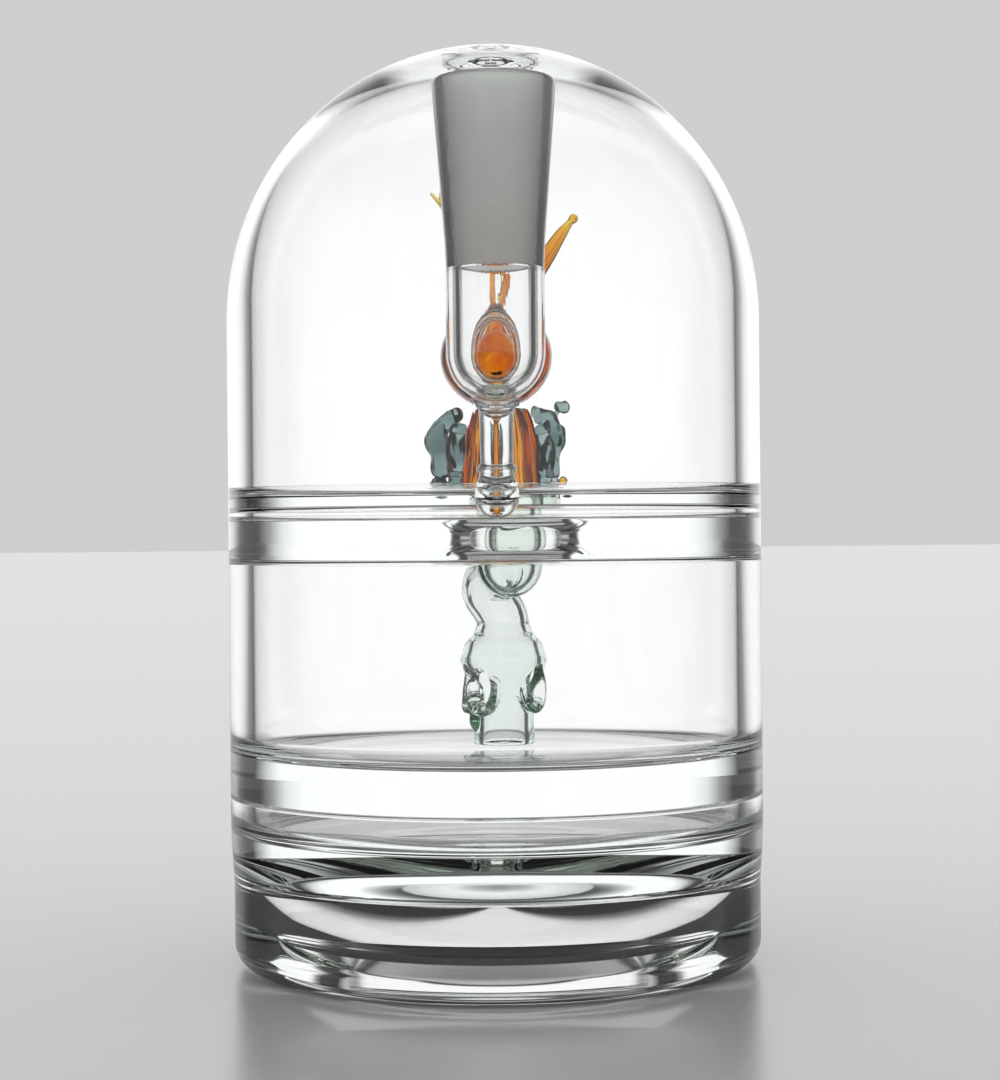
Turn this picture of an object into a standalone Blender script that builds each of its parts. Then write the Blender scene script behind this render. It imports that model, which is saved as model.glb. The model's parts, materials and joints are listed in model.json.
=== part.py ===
"""Domed glass bubbler: a thick walled can of clear glass, closed by a dome.

The can holds a water chamber with a percolator below, and an amber glass piece under the dome
above.  A ground joint stands in front of the dome and a mouthpiece leaves it at the back.
+Z is up, -Y is the front, and the origin lies on the table under the middle of the piece.
"""
import math

import bmesh
import bpy
from mathutils import Matrix, Vector

MM = 0.001
GAP = 0.3 * MM              # clearance between two glass pieces that touch

# The can, from the table upwards
CAN_RADIUS = 44.0 * MM
WALL = 4.0 * MM
BORE_RADIUS = CAN_RADIUS - WALL
FOOT_TOP = 14.0 * MM
BASE_SLAB_TOP = 22.0 * MM
CHAMBER_FLOOR_BOTTOM = 28.4 * MM
CHAMBER_FLOOR_TOP = 35.0 * MM
MID_SLAB_BOTTOM = 67.1 * MM
MID_SLAB_TOP = 73.1 * MM
DECK_BOTTOM = 75.4 * MM
DECK_TOP = 76.8 * MM
DOME_SPRING = 106.0 * MM    # where the straight wall turns into the dome
DOME_TOP = 151.5 * MM
DOME_CAVITY_TOP = 147.0 * MM

# The foot ring
FOOT_FLAT = (37.0 * MM, 40.0 * MM)
FOOT_EDGE_RADIUS = 3.9 * MM
FOOT_TOP_INSIDE = 29.0 * MM

# The ground joint in front, and what holds it
JOINT_AXIS = Vector((0.5, -54.5, 0.0)) * MM
JOINT_TOP = 137.0 * MM
JOINT_BOTTOM = 109.5 * MM
JOINT_TOP_RADIUS = 8.95 * MM
JOINT_TOP_BORE = 7.25 * MM
JOINT_BOTTOM_RADIUS = 7.1 * MM
JOINT_BOTTOM_BORE = 5.75 * MM
BULB_RADIUS = 7.2 * MM
BULB_BORE = 5.65 * MM
BULB_BOTTOM = 90.0 * MM
ROD_RADIUS = 2.5 * MM
FOOT_BALL_RADIUS = 3.25 * MM
FOOT_BALL_HEIGHT = 76.6 * MM

# The oval tube that carries the draught from the bulb through the dome into the amber head
BRIDGE_HEIGHT = 97.2 * MM
BRIDGE_HALF_WIDTH = 4.4 * MM
BRIDGE_STRETCH = 1.2        # height of the oval over its width
BRIDGE_WALL = 1.3 * MM
BRIDGE_INNER_END = -7.4 * MM

# The mouthpiece: it reaches as far to the back as the joint does to the front
MOUTH_REACH = -JOINT_AXIS.y + JOINT_TOP_RADIUS
MOUTH_RISE = math.radians(45.0)
MOUTH_LIP_RADIUS = 9.5 * MM
MOUTH_LIP_THICKNESS = 3.2 * MM
MOUTH_BORE = 5.5 * MM
MOUTH_TUBE_RADIUS = 7.2 * MM
MOUTH_TUBE_LENGTH = 29.0 * MM
MOUTH_LIP_HEIGHT = 142.6 * MM

# The percolator in the water chamber
DOWN_TUBE_AXIS = Vector((2.4, -4.2, 0.0)) * MM
DOWN_TUBE_RADIUS = 5.35 * MM
DOWN_TUBE_WALL = 1.5 * MM
DOWN_TUBE_BOTTOM = 60.3 * MM
SLAB_HOLE_RADIUS = 11.0 * MM
BULB_AXIS = Vector((1.3, 2.6, 0.0)) * MM
PERC_NECK = (4.4 * MM, 55.0 * MM)
PERC_BELLY = (7.3 * MM, 49.8 * MM)
PERC_WAIST = (5.0 * MM, 42.6 * MM)
PERC_OUTLET = (5.15 * MM, 35.8 * MM)
PERC_WALL = 1.3 * MM
BEND_RADIUS = 4.3 * MM
BEND_BORE = 3.1 * MM
BEND_LINE = ((-0.6, 1.7, 63.6), (-1.3, 3.2, 61.0), (0.2, 3.1, 59.0), (1.3, 2.6, 57.4))
PORT_RADIUS = 1.9 * MM
PORT_HEIGHT = 44.6 * MM
PORT_AIM = (-135.0, -38.0, 178.0)      # compass of each port, in degrees from +X

# The vents that let the draught rise through the deck, in a row behind the amber trunk
VENT_RADIUS = 3.0 * MM
VENT_DEPTHS = (14.0, 22.0, 30.0)       # millimetres behind the can's axis

# The amber piece on the deck
TRUNK_AXIS = Vector((1.1, 0.0, 0.0)) * MM
TRUNK_FOOT_RADIUS = 6.5 * MM
TRUNK_TOP = 91.2 * MM
TRUNK_NECK_RADIUS = 4.3 * MM
AMBER_WALL = 1.2 * MM
HEAD_CENTRE = Vector((0.5, 0.0, 100.0)) * MM
HEAD_HALF_WIDTH = 9.3 * MM
HEAD_HALF_HEIGHT = 8.7 * MM

BUD_CENTRE = Vector((11.4, -1.5, 78.7)) * MM

# The smoky glass on the deck, as middle lines and radii in millimetres
SMOKY_COLUMNS = {
    "left": (((-6.3, -2.6, 77.2), (-6.2, -2.6, 82.0), (-6.1, -2.5, 86.0), (-5.8, -2.3, 88.8)),
             (1.1, 1.0, 1.15, 0.85)),
    "right": (((8.5, -2.0, 77.2), (8.5, -2.0, 82.0), (8.4, -1.9, 86.0), (7.9, -1.7, 88.4)),
              (0.85, 0.8, 0.9, 0.75)),
}
SMOKY_ARMS = {
    "left": (((-6.1, -1.2, 91.3), (-7.4, -0.8, 90.0), (-9.4, -0.3, 87.4), (-9.2, 0.0, 84.0),
              (-9.0, 0.0, 80.4)), (0.9, 1.1, 1.7, 1.35, 1.5)),
    "right": (((7.0, -0.4, 91.4), (8.6, -0.2, 89.9), (10.2, 0.1, 87.2), (10.0, 0.2, 84.2),
               (9.9, 0.2, 80.3)), (0.9, 1.1, 1.45, 0.95, 0.9)),
}
SMOKY_FEET = {"left": ((-9.2, 0.0, 78.6), 1.7), "right": ((9.9, 0.2, 78.6), 1.2)}
SMOKY_FOOT_HALF_HEIGHT = 1.3 * MM
SMOKY_FINIAL = (((10.4, 0.4, 90.7), (10.6, 0.4, 90.9), (10.8, 0.4, 91.1), (11.0, 0.4, 91.3),
                 (11.4, 0.4, 91.7), (11.85, 0.4, 92.15), (12.15, 0.4, 92.45)),
                (0.4, 0.35, 0.5, 0.95, 1.15, 0.95, 0.4))

CAN_STEPS = 40
TUBE_STEPS = 20
ROD_SIDES = 10

MATERIALS = {
    # name: (colour, roughness, transmission)
    "clear_glass": ((0.93, 0.97, 0.94), 0.03, 0.9),
    "frosted_glass": ((0.72, 0.72, 0.71), 0.55, 0.5),
    "perc_glass": ((0.78, 0.86, 0.82), 0.05, 0.9),
    "amber_glass": ((0.85, 0.32, 0.03), 0.06, 0.7),
    "smoky_glass": ((0.16, 0.23, 0.24), 0.08, 0.5),
}


def clear_scene():
    """Remove what the scene holds at the start."""
    for thing in list(bpy.data.objects):
        bpy.data.objects.remove(thing)


def material(name):
    """The glass of that name, made once."""
    if name in bpy.data.materials:
        return bpy.data.materials[name]
    colour, roughness, transmission = MATERIALS[name]
    glass = bpy.data.materials.new(name)
    glass.use_nodes = True
    shader = glass.node_tree.nodes["Principled BSDF"]
    shader.inputs["Base Color"].default_value = (*colour, 1.0)
    shader.inputs["Roughness"].default_value = roughness
    shader.inputs["Metallic"].default_value = 0.0
    shader.inputs["Transmission Weight"].default_value = transmission
    return glass


def finish(name, shape, glass, place=None):
    """Turn a bmesh into a named, smooth shaded object."""
    bmesh.ops.remove_doubles(shape, verts=shape.verts, dist=1e-6)
    bmesh.ops.recalc_face_normals(shape, faces=shape.faces)
    mesh = bpy.data.meshes.new(name)
    shape.to_mesh(mesh)
    shape.free()
    mesh.materials.append(material(glass))
    mesh.shade_smooth()
    mesh.set_sharp_from_angle(angle=math.radians(35.0))
    piece = bpy.data.objects.new(name, mesh)
    bpy.context.collection.objects.link(piece)
    if place is not None:
        piece.matrix_world = place
    return piece


def turned(name, outline, glass, place=None, steps=TUBE_STEPS):
    """Spin an outline of (radius, height) points about a vertical axis.

    An outline that starts and ends on the axis closes itself there; any other is a ring.
    """
    shape = bmesh.new()
    corners = [shape.verts.new((radius, 0.0, height)) for radius, height in outline]
    edges = [shape.edges.new(pair) for pair in zip(corners, corners[1:])]
    if outline[0][0] > 0.0 or outline[-1][0] > 0.0:
        edges.append(shape.edges.new((corners[-1], corners[0])))
    bmesh.ops.spin(shape, geom=corners + edges, cent=(0, 0, 0), axis=(0, 0, 1), dvec=(0, 0, 0),
                   angle=math.tau, steps=steps, use_merge=True)
    return finish(name, shape, glass, place)


def arc(centre, half_width, half_height, start, end, count, power=2.0):
    """Points on a quarter or more of an ellipse; a power over 2 makes it squarer."""
    points = []
    for step in range(count + 1):
        angle = math.radians(start + (end - start) * step / count)
        across = math.copysign(abs(math.cos(angle)) ** (2.0 / power), math.cos(angle))
        along = math.copysign(abs(math.sin(angle)) ** (2.0 / power), math.sin(angle))
        if abs(across) < 1e-9:
            across = 0.0
        points.append((centre[0] + half_width * across, centre[1] + half_height * along))
    return points


def at(where):
    """A placement at a point."""
    return Matrix.Translation(where)


def smooth_path(points, pieces=4):
    """A Catmull-Rom curve through a few points given in millimetres."""
    knots = [Vector(point) * MM for point in points]
    knots = [2 * knots[0] - knots[1]] + knots + [2 * knots[-1] - knots[-2]]
    path = []
    for before, near, far, after in zip(knots, knots[1:], knots[2:], knots[3:]):
        for step in range(pieces):
            t = step / pieces
            path.append(0.5 * (2 * near + (far - before) * t
                               + (2 * before - 5 * near + 4 * far - after) * t * t
                               + (3 * near - before - 3 * far + after) * t ** 3))
    return path + [knots[-2]]


def between(values, share):
    """Read a list of evenly spaced values at a share of its length."""
    spot = share * (len(values) - 1)
    low = min(int(spot), len(values) - 2)
    return values[low] + (values[low + 1] - values[low]) * (spot - low)


def swept(name, path, radii, glass, bores=None, sides=ROD_SIDES):
    """Carry a circle along a path; with bores the rod becomes an open ended tube."""
    frames = []
    turn = None
    for index, point in enumerate(path):
        ahead = path[min(index + 1, len(path) - 1)] - path[max(index - 1, 0)]
        if turn is None:
            turn = ahead.to_track_quat("Z", "Y")
        else:
            turn = previous.rotation_difference(ahead) @ turn
        previous = ahead
        frames.append(Matrix.Translation(point) @ turn.to_matrix().to_4x4())
    shares = [index / (len(path) - 1) for index in range(len(path))]
    stations = [(frame, between(radii, share)) for frame, share in zip(frames, shares)]
    if bores:
        inside = [(frame, between(bores, share)) for frame, share in zip(frames, shares)]
        stations += inside[::-1]
    shape = bmesh.new()
    loops = []
    for frame, radius in stations:
        ring = bmesh.ops.create_circle(shape, segments=sides, radius=radius, matrix=frame)
        loops.append(sorted({edge for vert in ring["verts"] for edge in vert.link_edges},
                            key=lambda edge: edge.index))
    shape.edges.ensure_lookup_table()
    pairs = list(zip(loops, loops[1:]))
    if bores:
        pairs.append((loops[-1], loops[0]))
    for near, far in pairs:
        bmesh.ops.bridge_loops(shape, edges=near + far)
    if not bores:
        for loop in (loops[0], loops[-1]):
            bmesh.ops.contextual_create(shape, geom=loop)
    return finish(name, shape, glass)


def cutter(name, place, half_width, half_height, length, sides=TUBE_STEPS):
    """An oval bar along its own Z axis, used only to cut holes."""
    shape = bmesh.new()
    bmesh.ops.create_cone(shape, cap_ends=True, segments=sides, radius1=1.0, radius2=1.0, depth=1.0,
                          matrix=Matrix.Diagonal((half_width, half_height, length, 1.0)))
    bar = finish(name, shape, "clear_glass", place)
    bar.hide_render = True
    bar.display_type = "WIRE"
    return bar


def cut(piece, *bars):
    """Take the bars out of a piece."""
    for bar in bars:
        hole = piece.modifiers.new("hole_" + bar.name, "BOOLEAN")
        hole.operation = "DIFFERENCE"
        hole.solver = "EXACT"
        hole.object = bar


def ring(name, bottom, top, inner, glass="clear_glass"):
    """A straight ring of the can's outer size."""
    outline = [(CAN_RADIUS, top), (CAN_RADIUS, bottom), (inner, bottom), (inner, top)]
    return turned(name, outline, glass, steps=CAN_STEPS)


def disc(name, bottom, top, glass="clear_glass"):
    """A full disc of the can's outer size."""
    outline = [(0.0, top), (CAN_RADIUS, top), (CAN_RADIUS, bottom), (0.0, bottom)]
    return turned(name, outline, glass, steps=CAN_STEPS)


def build_foot():
    """The ring that the piece stands on, with its hollow underneath."""
    flat_inner, flat_outer = FOOT_FLAT
    edge = (CAN_RADIUS - FOOT_EDGE_RADIUS, FOOT_EDGE_RADIUS)
    outline = [(CAN_RADIUS, FOOT_TOP)]
    outline += arc(edge, FOOT_EDGE_RADIUS, FOOT_EDGE_RADIUS, 0, -85, 4)
    outline += [(flat_outer, 0.0), (flat_inner, 0.0)]
    hollow = (FOOT_TOP_INSIDE, 0.6 * MM)
    outline += arc(hollow, flat_inner - FOOT_TOP_INSIDE - 1.5 * MM, FOOT_TOP - 0.6 * MM, 10, 90, 4)
    turned("foot_ring", outline, "clear_glass", steps=CAN_STEPS)


def build_can():
    """The slabs and walls that are stacked on the foot."""
    disc("base_slab", FOOT_TOP + GAP, BASE_SLAB_TOP)
    ring("lower_spacer_wall", BASE_SLAB_TOP + GAP, CHAMBER_FLOOR_BOTTOM - GAP, BORE_RADIUS)
    disc("chamber_floor", CHAMBER_FLOOR_BOTTOM, CHAMBER_FLOOR_TOP)
    ring("chamber_wall", CHAMBER_FLOOR_TOP + GAP, MID_SLAB_BOTTOM - GAP, BORE_RADIUS)
    slab = disc("mid_slab", MID_SLAB_BOTTOM, MID_SLAB_TOP)
    slab_middle = (MID_SLAB_BOTTOM + MID_SLAB_TOP) / 2
    hole_axis = (DOWN_TUBE_AXIS.x, DOWN_TUBE_AXIS.y, slab_middle)
    cut(slab, cutter("slab_hole", at(hole_axis), SLAB_HOLE_RADIUS, SLAB_HOLE_RADIUS, 20 * MM))
    ring("upper_spacer_ring", MID_SLAB_TOP + GAP, DECK_BOTTOM - GAP, BORE_RADIUS)

    deck = disc("deck", DECK_BOTTOM, DECK_TOP)
    deck_hole = DOWN_TUBE_RADIUS + GAP
    hole_axis = (DOWN_TUBE_AXIS.x, DOWN_TUBE_AXIS.y, DECK_TOP)
    cut(deck, cutter("deck_hole", at(hole_axis), deck_hole, deck_hole, 10 * MM))
    for depth in VENT_DEPTHS:
        spot = (TRUNK_AXIS.x, depth * MM, DECK_TOP)
        cut(deck, cutter("vent_%d" % depth, at(spot), VENT_RADIUS, VENT_RADIUS, 10 * MM, 12))


def mouth_frame(back):
    """A placement on the mouthpiece's axis, so far back from the lip's face."""
    half = MOUTH_LIP_THICKNESS / 2
    face_y = MOUTH_REACH - (MOUTH_LIP_RADIUS - half) * math.sin(MOUTH_RISE)
    face_y -= half * (1.0 - math.cos(MOUTH_RISE))
    along = Vector((0.0, math.cos(MOUTH_RISE), math.sin(MOUTH_RISE)))
    spot = Vector((0.0, face_y, MOUTH_LIP_HEIGHT)) - along * back
    return Matrix.Translation(spot) @ Matrix.Rotation(MOUTH_RISE - math.pi / 2, 4, "X")


def build_dome():
    """The dome, open below, with a port for the bridge in front and one behind."""
    outline = arc((0.0, DOME_SPRING), CAN_RADIUS, DOME_TOP - DOME_SPRING, 90, 0, 10)
    outline += [(CAN_RADIUS, DECK_TOP + GAP), (BORE_RADIUS, DECK_TOP + GAP)]
    outline += arc((0.0, DOME_SPRING), BORE_RADIUS, DOME_CAVITY_TOP - DOME_SPRING, 0, 90, 10, 2.2)
    dome = turned("dome", outline, "clear_glass", steps=CAN_STEPS)
    half_width = BRIDGE_HALF_WIDTH + GAP
    front = Matrix.Translation((JOINT_AXIS.x, -CAN_RADIUS, BRIDGE_HEIGHT))
    front = front @ Matrix.Rotation(math.radians(90.0), 4, "X")
    back_hole = MOUTH_TUBE_RADIUS + GAP
    cut(dome,
        cutter("bridge_port", front, half_width, BRIDGE_HALF_WIDTH * BRIDGE_STRETCH + GAP, 20 * MM),
        cutter("mouth_port", mouth_frame(MOUTH_TUBE_LENGTH), back_hole, back_hole, 24 * MM))


def build_joint():
    """The ground socket, the round bottomed bulb under it, and the rod that props them."""
    lip = 0.6 * MM
    outline = arc((JOINT_TOP_RADIUS - lip, JOINT_TOP - lip), lip, lip, 90, 0, 3)
    outline += [(JOINT_BOTTOM_RADIUS, JOINT_BOTTOM), (JOINT_BOTTOM_BORE, JOINT_BOTTOM)]
    outline += [(JOINT_TOP_BORE, JOINT_TOP)]
    turned("joint_socket", outline, "frosted_glass", at(JOINT_AXIS))

    outer_middle = BULB_BOTTOM + BULB_RADIUS
    bore_bottom = BULB_BOTTOM + BULB_RADIUS - BULB_BORE
    outline = [(0.0, bore_bottom)]
    outline += arc((0.0, outer_middle), BULB_BORE, BULB_BORE, -80, 0, 6)
    outline += [(BULB_BORE, JOINT_BOTTOM - GAP), (BULB_RADIUS, JOINT_BOTTOM - GAP)]
    outline += arc((0.0, outer_middle), BULB_RADIUS, BULB_RADIUS, 0, -80, 6) + [(0.0, BULB_BOTTOM)]
    bulb = turned("joint_bulb", outline, "clear_glass", at(JOINT_AXIS))
    opening = Matrix.Translation((JOINT_AXIS.x, JOINT_AXIS.y + BULB_RADIUS, BRIDGE_HEIGHT))
    opening = opening @ Matrix.Rotation(math.radians(90.0), 4, "X")
    bore = BRIDGE_HALF_WIDTH - BRIDGE_WALL
    cut(bulb, cutter("bulb_port", opening, bore, bore * BRIDGE_STRETCH, BULB_RADIUS))

    ball_centre = Vector((JOINT_AXIS.x, -(CAN_RADIUS + GAP + FOOT_BALL_RADIUS), FOOT_BALL_HEIGHT))
    ball = arc((0.0, 0.0), FOOT_BALL_RADIUS, FOOT_BALL_RADIUS, 90, -90, 8)
    turned("support_ball", ball, "clear_glass", at(ball_centre), steps=16)

    rod_top = Vector((JOINT_AXIS.x, JOINT_AXIS.y, BULB_BOTTOM - GAP - ROD_RADIUS * 0.25))
    lean = (rod_top - ball_centre).normalized()
    rod_foot = ball_centre + lean * (FOOT_BALL_RADIUS + GAP)
    swept("support_rod", [rod_foot, (rod_foot + rod_top) / 2, rod_top], [ROD_RADIUS] * 3,
          "clear_glass", sides=16)


def build_bridge():
    """The oval tube between the bulb and the amber head."""
    start = JOINT_AXIS.y + BULB_RADIUS + 1.7 * MM
    length = BRIDGE_INNER_END - start
    bore = BRIDGE_HALF_WIDTH - BRIDGE_WALL
    outline = [(BRIDGE_HALF_WIDTH, length), (BRIDGE_HALF_WIDTH, 0.0), (bore, 0.0), (bore, length)]
    place = Matrix.Translation((JOINT_AXIS.x, start, BRIDGE_HEIGHT))
    place = place @ Matrix.Rotation(math.radians(-90.0), 4, "X")
    place = place @ Matrix.Diagonal((1.0, BRIDGE_STRETCH, 1.0, 1.0))
    turned("bridge_tube", outline, "clear_glass", place)


def build_mouthpiece():
    """The tube that leaves the back of the dome, and its rounded lip."""
    start = mouth_frame(MOUTH_TUBE_LENGTH).translation
    end = mouth_frame(MOUTH_LIP_THICKNESS + GAP).translation
    path = [start.lerp(end, step / 4) for step in range(5)]
    swept("mouthpiece_tube", path, [MOUTH_TUBE_RADIUS, 6.9 * MM, 6.9 * MM, 7.4 * MM],
          "clear_glass", bores=[MOUTH_BORE, 5.2 * MM, 5.2 * MM, MOUTH_BORE], sides=TUBE_STEPS)

    half = MOUTH_LIP_THICKNESS / 2
    outline = [(MOUTH_BORE, -MOUTH_LIP_THICKNESS), (MOUTH_BORE, 0.0)]
    outline += arc((MOUTH_LIP_RADIUS - half, -half), half, half, 90, -90, 8)
    turned("mouthpiece_lip", outline, "clear_glass", mouth_frame(0.0))


def build_percolator():
    """The down tube, the S bend under it and the ported bulb that bubbles the water."""
    bore = DOWN_TUBE_RADIUS - DOWN_TUBE_WALL
    middle = DOWN_TUBE_BOTTOM + DOWN_TUBE_RADIUS
    outline = [(0.0, middle - bore)] + arc((0.0, middle), bore, bore, -75, 0, 5)
    outline += [(bore, DECK_TOP), (DOWN_TUBE_RADIUS, DECK_TOP)]
    outline += arc((0.0, middle), DOWN_TUBE_RADIUS, DOWN_TUBE_RADIUS, 0, -75, 5)
    outline += [(0.0, DOWN_TUBE_BOTTOM)]
    down = turned("down_tube", outline, "perc_glass", at(DOWN_TUBE_AXIS))

    bend = smooth_path(BEND_LINE, 3)
    bend.append(BULB_AXIS + Vector((0.0, 0.0, PERC_NECK[1] + 2 * GAP)))
    swept("s_bend_tube", bend, [BEND_RADIUS] * 2, "perc_glass", bores=[BEND_BORE] * 2, sides=12)
    inlet = (bend[1] - bend[0]).to_track_quat("Z", "Y").to_matrix().to_4x4()
    inlet_radius = BEND_BORE - 0.2 * MM
    cut(down, cutter("bend_inlet", at(bend[0]) @ inlet, inlet_radius, inlet_radius, 7 * MM, 16))

    bulb_outline = []
    for thin, way in ((0.0, 1), (PERC_WALL, -1)):
        wall = [(PERC_NECK[0] - thin, PERC_NECK[1])]
        belly = (PERC_NECK[0] - thin, PERC_BELLY[1])
        swell = PERC_BELLY[0] - PERC_NECK[0]
        wall += arc(belly, swell, 4.2 * MM, 80, -60, 8)
        wall += [(PERC_WAIST[0] - thin, PERC_WAIST[1]), (PERC_OUTLET[0] - thin, PERC_OUTLET[1])]
        bulb_outline += wall[::way]
    bulb = turned("perc_bulb", bulb_outline, "perc_glass", at(BULB_AXIS))
    for index, compass in enumerate(PORT_AIM):
        aim = Vector((math.cos(math.radians(compass)), math.sin(math.radians(compass)), 0.25))
        spot = BULB_AXIS + aim * 7.0 * MM + Vector((0.0, 0.0, PORT_HEIGHT))
        place = at(spot) @ aim.to_track_quat("Z", "Y").to_matrix().to_4x4()
        cut(bulb, cutter("port_%d" % index, place, PORT_RADIUS, PORT_RADIUS * 1.4, 7 * MM, 16))


def build_amber():
    """The hollow trunk and head, and the solid branches on top."""
    foot = DECK_TOP + GAP
    neck_inner = TRUNK_NECK_RADIUS - AMBER_WALL
    outer = [(TRUNK_NECK_RADIUS, TRUNK_TOP), (5.2 * MM, 89.4 * MM), (5.7 * MM, 87.0 * MM)]
    outer += [(6.0 * MM, 82.0 * MM), (TRUNK_FOOT_RADIUS, foot)]
    inner = [(radius - AMBER_WALL, height) for radius, height in outer[::-1]]
    turned("amber_trunk", outer + inner, "amber_glass", at(TRUNK_AXIS))

    middle = HEAD_CENTRE.z
    head_outline = []
    for thin, way in ((0.0, 1), (AMBER_WALL, -1)):
        skin = arc((0.0, middle), HEAD_HALF_WIDTH - thin, HEAD_HALF_HEIGHT - thin, 90, -62, 10)
        skin[-1] = (neck_inner if thin else TRUNK_NECK_RADIUS, TRUNK_TOP + GAP)
        head_outline += skin[::way]
    head = turned("amber_head", head_outline, "amber_glass", at((HEAD_CENTRE.x, 0.0, 0.0)))
    entry = Matrix.Translation((JOINT_AXIS.x, -HEAD_HALF_WIDTH, BRIDGE_HEIGHT))
    entry = entry @ Matrix.Rotation(math.radians(90.0), 4, "X")
    half_width = BRIDGE_HALF_WIDTH + GAP
    cut(head, cutter("head_port", entry, half_width, BRIDGE_HALF_WIDTH * BRIDGE_STRETCH + GAP, 9 * MM))

    stem = [(-0.8, 0.0, 109.1), (-1.0, 0.2, 113.0), (-2.6, 0.6, 117.2), (-7.4, 0.9, 123.4),
            (-10.0, 1.0, 126.1)]
    swept("amber_stem", smooth_path(stem), [1.3 * MM, 1.0 * MM, 0.8 * MM, 0.6 * MM, 0.45 * MM],
          "amber_glass", sides=8)
    fork = [(-7.6, 0.9, 124.9), (-8.0, 0.8, 126.6), (-8.5, 0.6, 128.3)]
    swept("amber_fork", smooth_path(fork), [0.5 * MM, 0.45 * MM, 0.4 * MM], "amber_glass", sides=8)
    branch = [(3.4, 1.6, 109.4), (6.4, 1.8, 111.0), (9.4, 1.9, 114.2), (11.8, 1.8, 118.6),
              (13.8, 1.6, 122.3)]
    swept("amber_branch", smooth_path(branch), [1.4 * MM, 1.2 * MM, 1.1 * MM, 0.9 * MM, 0.65 * MM],
          "amber_glass", sides=8)
    strand = [(1.4, -1.0, 109.1), (3.2, -1.2, 111.2), (3.0, -1.0, 113.6), (1.8, -0.6, 115.4)]
    swept("amber_strand", smooth_path(strand), [0.6 * MM, 0.5 * MM, 0.5 * MM, 0.45 * MM],
          "amber_glass", sides=8)
    bud = arc((0.0, 0.0), 0.75 * MM, 1.5 * MM, 90, -90, 6)
    turned("amber_bud", bud, "amber_glass", at(BUD_CENTRE), steps=12)


def build_smoky():
    """The smoky rods that stand on each side of the amber trunk."""
    for side, (column, thickness) in SMOKY_COLUMNS.items():
        swept("smoky_column_" + side, smooth_path(column), [radius * MM for radius in thickness],
              "smoky_glass")
    for side, (arm, thickness) in SMOKY_ARMS.items():
        swept("smoky_arm_" + side, smooth_path(arm), [radius * MM for radius in thickness],
              "smoky_glass")
    for side, (centre, radius) in SMOKY_FEET.items():
        knob = arc((0.0, 0.0), radius * MM, SMOKY_FOOT_HALF_HEIGHT, 90, -90, 6)
        turned("smoky_foot_" + side, knob, "smoky_glass", at(Vector(centre) * MM), steps=12)
    finial, thickness = SMOKY_FINIAL
    swept("smoky_finial", smooth_path(finial, 2), [radius * MM for radius in thickness], "smoky_glass")


def main():
    clear_scene()
    build_foot()
    build_can()
    build_dome()
    build_joint()
    build_bridge()
    build_mouthpiece()
    build_percolator()
    build_amber()
    build_smoky()


if __name__ == "__main__":
    main()
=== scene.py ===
"""Domed glass bubbler: the finished look of each piece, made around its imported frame.

Run it as a script.  It registers one operator for each piece and a sidebar panel that lists
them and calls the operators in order.
"""

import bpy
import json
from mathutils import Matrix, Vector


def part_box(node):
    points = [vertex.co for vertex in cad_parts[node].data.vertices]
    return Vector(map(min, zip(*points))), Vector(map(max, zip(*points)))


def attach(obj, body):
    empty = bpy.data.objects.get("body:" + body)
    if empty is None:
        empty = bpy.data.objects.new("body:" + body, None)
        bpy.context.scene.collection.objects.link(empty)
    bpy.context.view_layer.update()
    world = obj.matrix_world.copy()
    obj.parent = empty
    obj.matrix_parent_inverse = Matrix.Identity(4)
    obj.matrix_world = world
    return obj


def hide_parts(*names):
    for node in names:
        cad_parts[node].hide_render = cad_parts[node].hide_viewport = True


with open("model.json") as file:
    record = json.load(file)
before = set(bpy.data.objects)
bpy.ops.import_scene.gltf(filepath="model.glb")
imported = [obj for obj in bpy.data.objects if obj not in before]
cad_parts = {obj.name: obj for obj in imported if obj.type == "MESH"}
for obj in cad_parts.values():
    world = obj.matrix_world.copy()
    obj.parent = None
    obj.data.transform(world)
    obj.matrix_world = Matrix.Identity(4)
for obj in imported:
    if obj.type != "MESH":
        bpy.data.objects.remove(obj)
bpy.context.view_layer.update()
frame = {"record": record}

import json
import math

import bmesh
import bpy
from bpy.props import FloatProperty, FloatVectorProperty, PointerProperty
from mathutils import Matrix, Vector, noise

bl_info = {
    "name": "Glass bubbler looks",
    "version": (1, 0, 0),
    "blender": (4, 5, 0),
    "location": "3D View > Sidebar > Bubbler",
    "description": "Models the glass pieces of a domed bubbler and its studio",
    "category": "Add Mesh",
}

MM = 0.001

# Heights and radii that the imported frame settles
CAN_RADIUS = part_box("dome")[1][0]
CAN_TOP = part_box("dome")[1][2]
DECK_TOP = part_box("deck")[1][2]
DECK_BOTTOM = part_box("deck")[0][2]
SLAB_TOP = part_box("mid_slab")[1][2]
SLAB_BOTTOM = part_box("mid_slab")[0][2]
CHAMBER_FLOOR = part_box("chamber_floor")[1][2]
GAP_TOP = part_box("chamber_floor")[0][2]
GAP_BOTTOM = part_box("base_slab")[1][2]
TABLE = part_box("foot_ring")[0][2]


def middle(node):
    """The centre of a node's box."""
    low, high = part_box(node)
    return Vector([(a + b) / 2 for a, b in zip(low, high)])


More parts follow.
